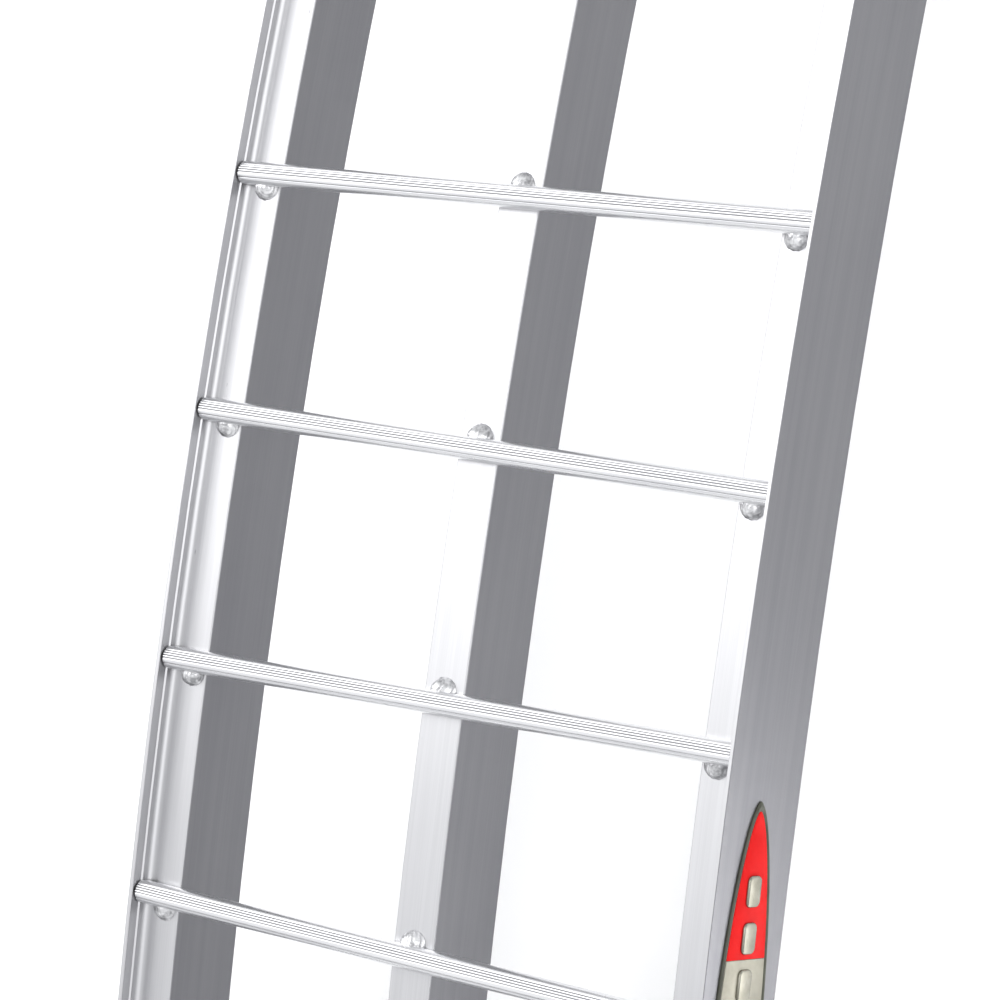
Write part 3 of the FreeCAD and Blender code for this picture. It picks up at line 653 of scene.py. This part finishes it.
def add_bead(mesh, matrix, numbers):
    """One rippled bead on the +Y side of a rung, in a bmesh of its own; matrix lays it in place."""
    made = bmesh.ops.create_uvsphere(mesh, u_segments=BEAD_SIDES, v_segments=BEAD_RINGS, radius=1.0)["verts"]
    size = numbers.uniform(SMALLEST, 1.0)
    start = Vector((numbers.uniform(*PUDDLE_ALONG), numbers.uniform(*PUDDLE_OUT), PUDDLE_UP))
    phase = numbers.uniform(0, 2 * math.pi)
    lean = numbers.uniform(-LEAN, LEAN)
    for vert in made:
        x, y, z = vert.co
        lump = LUMP_ALONG * math.sin(LUMP_ALONG_RATE * x + phase)
        lump = lump + LUMP_OUT * math.sin(LUMP_OUT_RATE * y - phase)
        ring = (vert.co - start).length * BEAD_RADIUS / RIPPLE_PITCH * 2 * math.pi
        waves = math.sin(ring + phase) + FINE_RIPPLE * math.sin(FINE_RATE * ring)
        ripple = RIPPLE_DEPTH * waves / BEAD_RADIUS
        toe = TOE_SPREAD * math.exp(-abs(z * BEAD_RADIUS / MM - TOE_HEIGHT) / TOE_FADE)
        reach = size * (BODY_SHARE + lump * max(z, 0) + ripple) + toe
        flat = reach * (FLATNESS - END_DROP * abs(x) ** 3)
        vert.co = (
            BEAD_HALF_LENGTH * (reach * x + lean * z),
            RUNG_RADIUS + BEAD_RADIUS * reach * y,
            -BEAD_SINK + BEAD_RADIUS * flat * z,
        )
    tread_cut = ((0, 0, 0), (0, 0, -1))
    rung_cut = ((0, RUNG_FOOT / 2, 0), (0, -1, 0))
    for place, normal in (tread_cut, rung_cut):
        everything = mesh.verts[:] + mesh.edges[:] + mesh.faces[:]
        bmesh.ops.bisect_plane(mesh, geom=everything, plane_co=place, plane_no=normal, clear_outer=True)
        rims = [e for e in mesh.edges if e.is_boundary]
        bmesh.ops.holes_fill(mesh, edges=rims, sides=0)
    bmesh.ops.recalc_face_normals(mesh, faces=mesh.faces)
    bmesh.ops.transform(mesh, matrix=matrix, verts=mesh.verts)


print("a bead is up to", round(2 * BEAD_HALF_LENGTH / MM, 1), "mm long")

# %% Beads in place
numbers = random.Random(11)
for half in ("lower", "upper"):
    for name in ("left", "centre", "right"):
        low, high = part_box(f"{half}_stringer_{name}")
        across = (low.x + high.x) / 2
        side = 0 if name == "centre" else math.copysign(1, across)
        spin = Matrix.Rotation(math.pi if side else 0.0, 4, "Z")
        aside = Matrix.Translation((across - side * BEAD_INSET, 0, 0))
        mesh = bmesh.new()
        for number in range(1, 9):
            one = bmesh.new()
            add_bead(one, rung_place[f"{half}_rung_{number}"] @ aside @ spin, numbers)
            held = bpy.data.meshes.new("bead")
            one.to_mesh(held)
            one.free()
            mesh.from_mesh(held)
            bpy.data.meshes.remove(held)
        body = "foot_half" if half == "lower" else "tongue_half"
        node = f"{half}_welds_{name}"
        finish_piece(mesh, node + "_beads", body, weld_metal, "weld_metal", node)
print("weld beads", 3 * len(rung_place))

# %% [markdown]
# ## Turned parts: bolts, nuts and screws
# A turned part is a pile of rings: each ring is pulled out of the last and set to a new radius and
# height. A hexagon fits the same idea, because its radius can follow the angle, and the chamfer
# on a real nut is a ring that is lower where the hexagon's corners stick out.

# %% Rings piled up along an axis
RING_SIDES = 48


def hexagon(apothem):
    """The radius of a hexagon, flat to flat twice the apothem, at an angle."""
    sixth = math.pi / 3
    return lambda angle: apothem / math.cos((angle + sixth / 2) % sixth - sixth / 2)


def pile_rings(mesh, rings, matrix):
    """A closed turned shape: rings are (radius, height), each a number or a function."""
    circle = bmesh.ops.create_circle(mesh, segments=RING_SIDES, radius=1.0, cap_ends=True)["verts"]
    start = set(v for f in circle[0].link_edges[0].link_faces for v in f.verts)
    loop = [e for e in mesh.edges if e.verts[0] in start and e.verts[1] in start]
    made = set(start)

    def place_ring(verts, radius, height):
        for vert in verts:
            angle = math.atan2(vert.co.y, vert.co.x)
            reach = radius(angle) if callable(radius) else radius
            lift = height(reach) if callable(height) else height
            vert.co = (reach * math.cos(angle), reach * math.sin(angle), lift)

    place_ring(start, *rings[0])
    for radius, height in rings[1:]:
        pulled = bmesh.ops.extrude_edge_only(mesh, edges=loop)["geom"]
        loop = [g for g in pulled if isinstance(g, bmesh.types.BMEdge)]
        verts = [g for g in pulled if isinstance(g, bmesh.types.BMVert)]
        place_ring(verts, radius, height)
        made |= set(verts)
    bmesh.ops.contextual_create(mesh, geom=loop)
    bmesh.ops.transform(mesh, matrix=matrix, verts=list(made))


print("rings have", RING_SIDES, "sides")


# %% Where turned parts go
def along_x(x, y, z, direction):
    """A matrix that turns +Z into +X or -X and moves to a place."""
    return Matrix.Translation((x, y, z)) @ Matrix.Rotation(math.copysign(math.pi / 2, direction), 4, "Y")


def solids_of(node):
    """The (lowest, highest) corners of each separate solid in a CAD node, in order of place."""
    mesh = bmesh.new()
    mesh.from_mesh(frame["nodes"][node].data)
    bmesh.ops.remove_doubles(mesh, verts=mesh.verts, dist=SAME_PLACE)
    left = set(mesh.verts)
    boxes = []
    while left:
        reached, front = set(), [next(iter(left))]
        while front:
            vert = front.pop()
            if vert not in reached:
                reached.add(vert)
                front += [e.other_vert(vert) for e in vert.link_edges]
        left -= reached
        low = Vector([min(v.co[i] for v in reached) for i in range(3)])
        high = Vector([max(v.co[i] for v in reached) for i in range(3)])
        boxes.append((low, high))
    mesh.free()
    return sorted(boxes, key=lambda b: tuple(round(c, 5) for c in b[0] + b[1]))


CENTRE_STRINGER = 50 * MM    # a piece within this of the middle is on the centre stringer
print("plate bolts at", [round((low.x + high.x) / 2, 3) for low, high in solids_of("plate_bolts")])

# %% [markdown]
# ## Bolts and nuts
# The bolts are M8 with a hexagon head and a rolled thread. A real thread is a helix, but rings at its
# pitch look the same here and stay closed. A nut is a bored hexagon, chamfered on both sides.

# %% Bolts with rolled threads
BOLT_RADIUS = 4.0 * MM
HEX_APOTHEM = 6.4 * MM
BOLT_HEAD = 5.3 * MM
CHAMFER_START = 6.1 * MM
CHAMFER_SLOPE = math.tan(math.radians(28))
THREAD_PITCH = 1.25 * MM
THREAD_DEPTH = 0.55 * MM
THREADED = 10 * MM
BOLT_TIP = 0.5 * MM
HEAD_DISH, HEAD_DISH_RIM = 0.55, 0.6       # the head's shallow dish, as shares of its flat
HEAD_DISH_DEPTH = 0.45 * MM
THREAD_FORM = (            # (height in one turn, depth) of the rings of one turn
    (0.1 * MM, 0.0), (0.55 * MM, THREAD_DEPTH), (0.7 * MM, THREAD_DEPTH), (1.15 * MM, 0.0),
)


def chamfered(height, direction=1):
    """The height of a hexagon's outer edge, which falls away beyond a circle."""
    return lambda reach: height - direction * max(0.0, reach - CHAMFER_START) * CHAMFER_SLOPE


def bolt_rings(length, threaded):
    """From the head's washer face to the rounded tip: head below zero, shank above."""
    rings = [
        (CHAMFER_START * HEAD_DISH, -BOLT_HEAD + HEAD_DISH_DEPTH),
        (CHAMFER_START * HEAD_DISH_RIM, -BOLT_HEAD),
        (CHAMFER_START, -BOLT_HEAD),
        (hexagon(HEX_APOTHEM), chamfered(-BOLT_HEAD, -1)),
        (hexagon(HEX_APOTHEM), 0.0),
        (BOLT_RADIUS, 0.0),
        (BOLT_RADIUS, length - threaded),
    ]
    for i in range(int(threaded / THREAD_PITCH)):
        crest = length - threaded + i * THREAD_PITCH
        rings += [(BOLT_RADIUS - depth, crest + up) for up, depth in THREAD_FORM]
    return rings + [(BOLT_RADIUS, length - BOLT_TIP), (BOLT_RADIUS - BOLT_TIP, length)]


def make_bolts(node, name, body):
    """Every bolt in a node: heads face the ramp's right on the right stringer, and its left elsewhere."""
    mesh = bmesh.new()
    for low, high in solids_of(node):
        middle = (low + high) / 2
        side = 1 if middle.x > CENTRE_STRINGER else -1
        head_x = (high.x if side > 0 else low.x) - side * BOLT_HEAD
        length = high.x - low.x - BOLT_HEAD
        pile_rings(mesh, bolt_rings(length, THREADED), along_x(head_x, middle.y, middle.z, -side))
    finish_piece(mesh, name, body, zinc_steel, "zinc_steel", node)


make_bolts("plate_bolts", "plate_bolt_set", "foot_half")
make_bolts("pivot_bolts", "pivot_bolt_set", "foot_half")
print("bolts", len(solids_of("plate_bolts")) + len(solids_of("pivot_bolts")))

# %% [markdown]
# A nut is piled up like a bolt, from the bore's rim on one face to its rim on the other. Its two end
# caps are then taken off, and the open rims are bridged through the middle to make the bore's wall.

# %% Nuts
NUT_BORE = BOLT_RADIUS + 0.05 * MM
NUT_SINK = 0.4 * MM        # the bore's chamfer


def make_nuts(node, name, body):
    """Every nut in a node: a piled hexagon with its end caps off and its bore joined through."""
    mesh = bmesh.new()
    for low, high in solids_of(node):
        middle = (low + high) / 2
        half = (high.x - low.x) / 2
        rings = [
            (NUT_BORE, -half), (CHAMFER_START, -half), (hexagon(HEX_APOTHEM), chamfered(-half, -1)),
            (hexagon(HEX_APOTHEM), chamfered(half)), (CHAMFER_START, half), (NUT_BORE + NUT_SINK, half),
            (NUT_BORE, half - NUT_SINK),
        ]
        pile_rings(mesh, rings, along_x(middle.x, middle.y, middle.z, 1))
    caps = [f for f in mesh.faces if len(f.verts) == RING_SIDES]
    bmesh.ops.delete(mesh, geom=caps, context="FACES_ONLY")
    rims = [e for e in mesh.edges if e.is_boundary]
    while rims:
        start = rims[0].verts[0].co
        one_nut = [e for e in rims if (e.verts[0].co - start).length < 3 * NUT_BORE]
        bmesh.ops.bridge_loops(mesh, edges=one_nut)
        rims = [e for e in mesh.edges if e.is_boundary]
    finish_piece(mesh, name, body, zinc_steel, "zinc_steel", node)


make_nuts("plate_nuts", "plate_nut_set", "foot_half")
make_nuts("pivot_nuts", "pivot_nut_set", "foot_half")
print("nuts", len(solids_of("plate_nuts")) + len(solids_of("pivot_nuts")))

# %% [markdown]
# ## Foot screws
# A screw holds each shoe in its tube. Its low domed head has a hexagon socket, so the pile of rings
# starts at the socket's bottom, comes up to the face and then goes out over the dome.

# %% Pan-head screws with a hexagon socket
SCREW_RADIUS = 2.0 * MM
SCREW_HEAD = 2.4 * MM
SCREW_HEAD_RADIUS = 4.0 * MM
SCREW_RIM = 0.3 * MM
SCREW_POINT = 0.4 * MM     # radius of the blunt tip, one millimetre beyond the full shank
SOCKET_APOTHEM = 1.25 * MM
SOCKET_BOTTOM = 1.1 * MM   # above the head's underside
SCREW_DOME = ((2.6 * MM, 0.0), (3.4 * MM, 0.3 * MM), (3.85 * MM, 0.9 * MM))    # (radius, drop)

mesh = bmesh.new()
for low, high in solids_of("foot_screws"):
    middle = (low + high) / 2
    side = 1 if middle.x > -CENTRE_STRINGER else -1
    head_x = (high.x if side > 0 else low.x) - side * SCREW_HEAD
    length = high.x - low.x - SCREW_HEAD
    rings = [(hexagon(SOCKET_APOTHEM), -SOCKET_BOTTOM), (hexagon(SOCKET_APOTHEM), -SCREW_HEAD)]
    rings += [(radius, -SCREW_HEAD + drop) for radius, drop in SCREW_DOME]
    rings += [
        (SCREW_HEAD_RADIUS, -SCREW_RIM), (SCREW_HEAD_RADIUS, 0.0), (SCREW_RADIUS, 0.0),
        (SCREW_RADIUS, length - MM), (SCREW_POINT, length),
    ]
    pile_rings(mesh, rings, along_x(head_x, middle.y, middle.z, -side))
finish_piece(mesh, "foot_screw_set", "foot_half", zinc_steel, "zinc_steel", "foot_screws")
print("foot screws", len(solids_of("foot_screws")))

# %% [markdown]
# ## Easing hard edges
# Plates, shoes and plugs have the right shape already, but an edge with no radius catches no light
# and looks drawn, not made. A copy is merged, its flat faces are joined up again, and a narrow bevel
# rounds every edge that is sharper than 30 degrees, up to the size that a file or a mould leaves.
# Where edges crowd together, the clamp keeps the bevel narrower than that.

# %% Eased copies of the CAD pieces
EASED = math.radians(30)
FLAT = math.radians(0.5)
COPY_MERGE = 0.002 * MM
SLIVER = 0.02 * MM


def ease(node, width, finish, slot, body):
    """A copy of a CAD node with its sharp edges rounded, standing for the node."""
    mesh = bmesh.new()
    mesh.from_mesh(frame["nodes"][node].data)
    bmesh.ops.remove_doubles(mesh, verts=mesh.verts, dist=COPY_MERGE)
    bmesh.ops.dissolve_limit(
        mesh, angle_limit=FLAT, verts=mesh.verts, edges=mesh.edges, use_dissolve_boundaries=False
    )
    sharp = [e for e in mesh.edges if e.is_manifold and e.calc_face_angle(0) > EASED]
    bmesh.ops.bevel(
        mesh, geom=sharp, offset=width, affect="EDGES", segments=2, profile=0.5, material=-1,
        clamp_overlap=True,
    )
    bmesh.ops.dissolve_degenerate(mesh, dist=SLIVER, edges=mesh.edges)
    finish_piece(mesh, node + "_eased", body, finish, slot, node)


for name in ("left", "centre", "right"):
    for side in ("minus", "plus"):
        ease(f"hinge_plate_{name}_{side}", 0.4 * MM, zinc_steel, "zinc_steel", "foot_half")
    ease(f"hinge_lug_{name}", 0.4 * MM, plate_metal, "mill_aluminium", "tongue_half")
    ease(f"foot_shoe_{name}", 0.7 * MM, black_rubber, "black_rubber", "foot_half")
    ease(f"end_plug_{name}", 0.5 * MM, black_nylon, "black_nylon", "tongue_half")
ease("tongue_plate", 0.35 * MM, plate_metal, "mill_aluminium", "tongue_half")
ease("tongue_pad", 0.5 * MM, black_rubber, "black_rubber", "tongue_half")

# %% [markdown]
# ## The badge
# The badge is a pointed oval cast in one plate and fixed flat on the right stringer. Its outline is
# one formula, so every layer is the same function at another inset: a rim with sloping sides, two
# enamelled fields sunk in it, and plain raised bars where a maker would put a name.

# %% Badge outline
BADGE_LENGTH = 260 * MM
BADGE_HALF_WIDTH = 19.4 * MM
BADGE_POWER = 0.6          # 0.5 would be an ellipse; more than that points the ends
BADGE_RIM = 2.2 * MM
BADGE_RED_LENGTH = 74 * MM
OVAL_STEPS = 72            # points along each side

badge_low, badge_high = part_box("badge_base")
badge_along = along_of("badge_base")
badge_deep = (badge_low + badge_high) / 2 - arc_centre
badge_above = math.hypot(badge_deep.y, badge_deep.z) - ARC_RADIUS
badge_frame = on_arc(badge_along, badge_low.x, badge_above)


def oval(inset):
    """The oval as (along, above) points, drawn in by inset, starting at the fold-side tip."""
    long_half = BADGE_LENGTH / 2 - 2 * inset
    wide_half = BADGE_HALF_WIDTH - inset
    points = []
    for i in range(2 * OVAL_STEPS):
        share = math.cos(math.pi * i / OVAL_STEPS)
        width = wide_half * max(0.0, 1 - share * share) ** BADGE_POWER
        points.append((long_half * share, width if i < OVAL_STEPS else -width))
    return points


def layered(mesh, layers):
    """Rings of the oval joined up: layers are (inset, height out of the stringer's side)."""
    rings = []
    for inset, out in layers:
        rings.append([mesh.verts.new((out, along, above)) for along, above in oval(inset)])
        for a, b in zip(rings[-1], rings[-1][1:] + rings[-1][:1]):
            mesh.edges.new((a, b))
    for below, above in zip(rings, rings[1:]):
        loops = [e for ring in (below, above) for v in ring for e in v.link_edges if e.other_vert(v) in ring]
        bmesh.ops.bridge_loops(mesh, edges=list(set(loops)))
    mesh.faces.new(rings[0])
    mesh.faces.new(rings[-1])


print("badge centred", round(badge_along, 3), "m along the arc, with", len(oval(0)), "points")

# %% [markdown]
# ## The badge's rim and fields
# The rim rises steeply, rolls over and slopes down to the sunk field. The two fields are one thin
# shape cut in two at the colour change, with a hair's gap between them.

# %% Badge rim and fields
FIELD_ROOT = 0.7 * MM      # heights out of the stringer's side
FIELD_EDGE = 1.0 * MM
FIELD_OUT = 1.15 * MM
FIELD_GAP = 0.15 * MM      # between a field and the rim or the other field
FIELD_SLOPE = 0.4 * MM
rim_layers = [
    (0, 0), (0, 0.55 * MM), (0.25 * MM, 0.95 * MM), (0.6 * MM, 1.35 * MM), (1.0 * MM, 1.5 * MM),
    (1.35 * MM, 1.45 * MM), (BADGE_RIM, 0.75 * MM), (BADGE_RIM + 0.1 * MM, FIELD_ROOT),
]
mesh = bmesh.new()
layered(mesh, rim_layers)
bmesh.ops.transform(mesh, matrix=badge_frame, verts=mesh.verts)
finish_piece(mesh, "badge_rim_plate", "foot_half", badge_rim, "badge_rim", "badge_base")


def badge_field(name, keep_side, finish, slot, node):
    """The part of the sunk field on one side of the colour change."""
    mesh = bmesh.new()
    edge = BADGE_RIM + FIELD_GAP
    layered(mesh, [(edge, FIELD_ROOT), (edge, FIELD_EDGE), (BADGE_RIM + FIELD_SLOPE, FIELD_OUT)])
    seam = BADGE_LENGTH / 2 - BADGE_RED_LENGTH - keep_side * FIELD_GAP
    everything = mesh.verts[:] + mesh.edges[:] + mesh.faces[:]
    cut = bmesh.ops.bisect_plane(
        mesh, geom=everything, plane_co=(0, seam, 0), plane_no=(0, keep_side, 0), clear_outer=True
    )
    fill_cut(mesh, cut)
    bmesh.ops.transform(mesh, matrix=badge_frame, verts=mesh.verts)
    finish_piece(mesh, name, "foot_half", finish, slot, node)


badge_field("badge_red_enamel", -1, badge_red, "badge_red", "badge_red_field")
badge_field("badge_silver_enamel", 1, badge_silver, "badge_silver", "badge_silver_field")
print("badge fields meet", round(BADGE_RED_LENGTH / MM), "mm from the fold-side tip")

# %% [markdown]
# ## Raised bars
# A row of plain rounded bars stands where a maker would put a name. Each is a cube pulled to size, its
# four upright corners rounded first and its outer rim after, as a cast bar's would be.

# %% Raised bars
BAR_COUNT = 9
BAR_LENGTH = 15 * MM
BAR_WIDTH = 10 * MM
BAR_STEP = 22 * MM
BAR_OUT = 2.6 * MM
BAR_ROOT = 1.0 * MM        # the bars are sunk this far out of the stringer's side, inside the enamel
BAR_BEVEL = 1.1 * MM
BAR_CORNER = 3 * MM
BAR_TOP = 0.1 * MM         # an edge within this of the top is on the bar's outer rim

mesh = bmesh.new()
for i in range(BAR_COUNT):
    middle = (i - (BAR_COUNT - 1) / 2) * BAR_STEP
    size = Matrix.Diagonal((BAR_OUT - BAR_ROOT, BAR_LENGTH, BAR_WIDTH, 1))
    place = Matrix.Translation(((BAR_OUT + BAR_ROOT) / 2, middle, 0))
    made = bmesh.ops.create_cube(mesh, size=1.0)["verts"]
    bmesh.ops.transform(mesh, matrix=place @ size, verts=made)
    edges = list({e for v in made for e in v.link_edges})
    posts = [e for e in edges if abs(e.verts[0].co.x - e.verts[1].co.x) > BAR_OUT / 4]
    rounded = bmesh.ops.bevel(
        mesh, geom=posts, offset=BAR_CORNER, affect="EDGES", segments=5, profile=0.5, material=-1
    )
    top = {e for v in set(made) | set(rounded["verts"]) if v.is_valid for e in v.link_edges}
    top = [e for e in top if all(v.co.x > BAR_OUT - BAR_TOP for v in e.verts)]
    bmesh.ops.bevel(
        mesh, geom=top, offset=BAR_BEVEL, affect="EDGES", segments=3, profile=0.5, material=-1
    )
bmesh.ops.transform(mesh, matrix=badge_frame, verts=mesh.verts)
finish_piece(mesh, "badge_raised_bars", "foot_half", badge_chrome, "badge_silver", "badge_bars")
print("raised bars", BAR_COUNT)

# %% [markdown]
# ## Finishes for the CAD pieces that stay
# The stringers, bushes, spacers, rivets and lug welds are shown as they are. Their shape is right, so
# each only gets a proper material in place of its plain one.

# %% Materials on the CAD nodes
node_finish = {
    "pivot_bushes": bronze, "pivot_spacers": black_nylon, "tongue_rivets": rung_metal,
    "lug_welds": weld_metal,
}
finished = []
for name, node in frame["nodes"].items():
    finish = stringer_metal if "_stringer_" in name else node_finish.get(name)
    if finish:
        node.data.materials.clear()
        node.data.materials.append(finish)
        finished.append(name)
print("CAD pieces that stay", len(finished))

# %% [markdown]
# ## Floor and light
# The ramp stands on a plain pale floor. One large soft panel hangs on the left, high up: it is what
# the tread faces mirror to the camera, and it fades towards the foot. A second one hangs on the
# right, which fills the shadows on the floor and lights the inside of the left lip. A small lamp
# brightens the floor by the foot, and a pale sky closes the rest, so every shadow stays soft.

# %% Floor
FLOOR_SIZE = 30            # metres: it runs out of every view
FLOOR_DROP = 0.2 * MM      # so that the floor and the shoes' soles don't share one plane
FLOOR_CLOUD = 0.4          # metres

floor_place = Matrix.Translation((0, 0, -FLOOR_DROP))
floor_mesh = bmesh.new()
bmesh.ops.create_grid(floor_mesh, x_segments=1, y_segments=1, size=FLOOR_SIZE, matrix=floor_place)
floor_data = bpy.data.meshes.new("floor")
floor_mesh.to_mesh(floor_data)
floor_mesh.free()
floor = bpy.data.objects.new("floor", floor_data)
bpy.context.scene.collection.objects.link(floor)

floor_paint, tree, shader, place = new_material("matt_floor_paint", 0.0, 0.9)
floor_tone = stretched_noise(tree, place, (FLOOR_CLOUD,) * 3, detail=3.0)
tree.links.new(ramp_between(tree, floor_tone, "#f9f9f9", "#fcfcfc"), shader.inputs["Base Color"])
floor_data.materials.append(floor_paint)
print("floor", FLOOR_SIZE, "m")

# %% [markdown]
# Each lamp is a rectangle that is turned to face a point. The larger it is, the softer the edges of
# the shadows and of the highlights on the metal.

# %% Lights
def panel(name, place, aim, size, watts):
    """A soft rectangular lamp at place, turned towards aim; all but watts in metres."""
    data = bpy.data.lights.new(name, "AREA")
    data.shape = "RECTANGLE"
    data.size, data.size_y = size
    data.energy = watts
    lamp = bpy.data.objects.new(name, data)
    lamp.location = place
    lamp.rotation_mode = "QUATERNION"
    lamp.rotation_quaternion = (Vector(aim) - Vector(place)).to_track_quat("-Z", "Y")
    lamp.visible_camera = False
    bpy.context.scene.collection.objects.link(lamp)


panel("key_panel", place=(-2.6, 0.42, 3.2), aim=(0, -0.15, 0.1), size=(3.2, 3.6), watts=88)
panel("right_panel", place=(2.9, -0.4, 3.0), aim=(0.3, -0.4, 0), size=(2.4, 2.8), watts=42)
panel("foot_panel", place=(0.37, -0.98, 0.08), aim=(0.37, -0.98, 0), size=(0.08, 0.7), watts=1.6)
print("lamps", len(bpy.data.lights))

# %% [markdown]
# ## Sky
# An even pale sky stands in for a studio's white walls. Metal shows what is round it, so this is what
# lets the grooves and lips read. Plain colour handling keeps white as white.

# %% Sky
SKY_STRENGTH = 1.1

world = bpy.data.worlds.new("studio")
world.use_nodes = True
world.node_tree.nodes["Background"].inputs["Color"].default_value = linear("#f4f5f7")
world.node_tree.nodes["Background"].inputs["Strength"].default_value = SKY_STRENGTH
bpy.context.scene.world = world
bpy.context.scene.view_settings.view_transform = "Standard"
print("sky strength", SKY_STRENGTH)
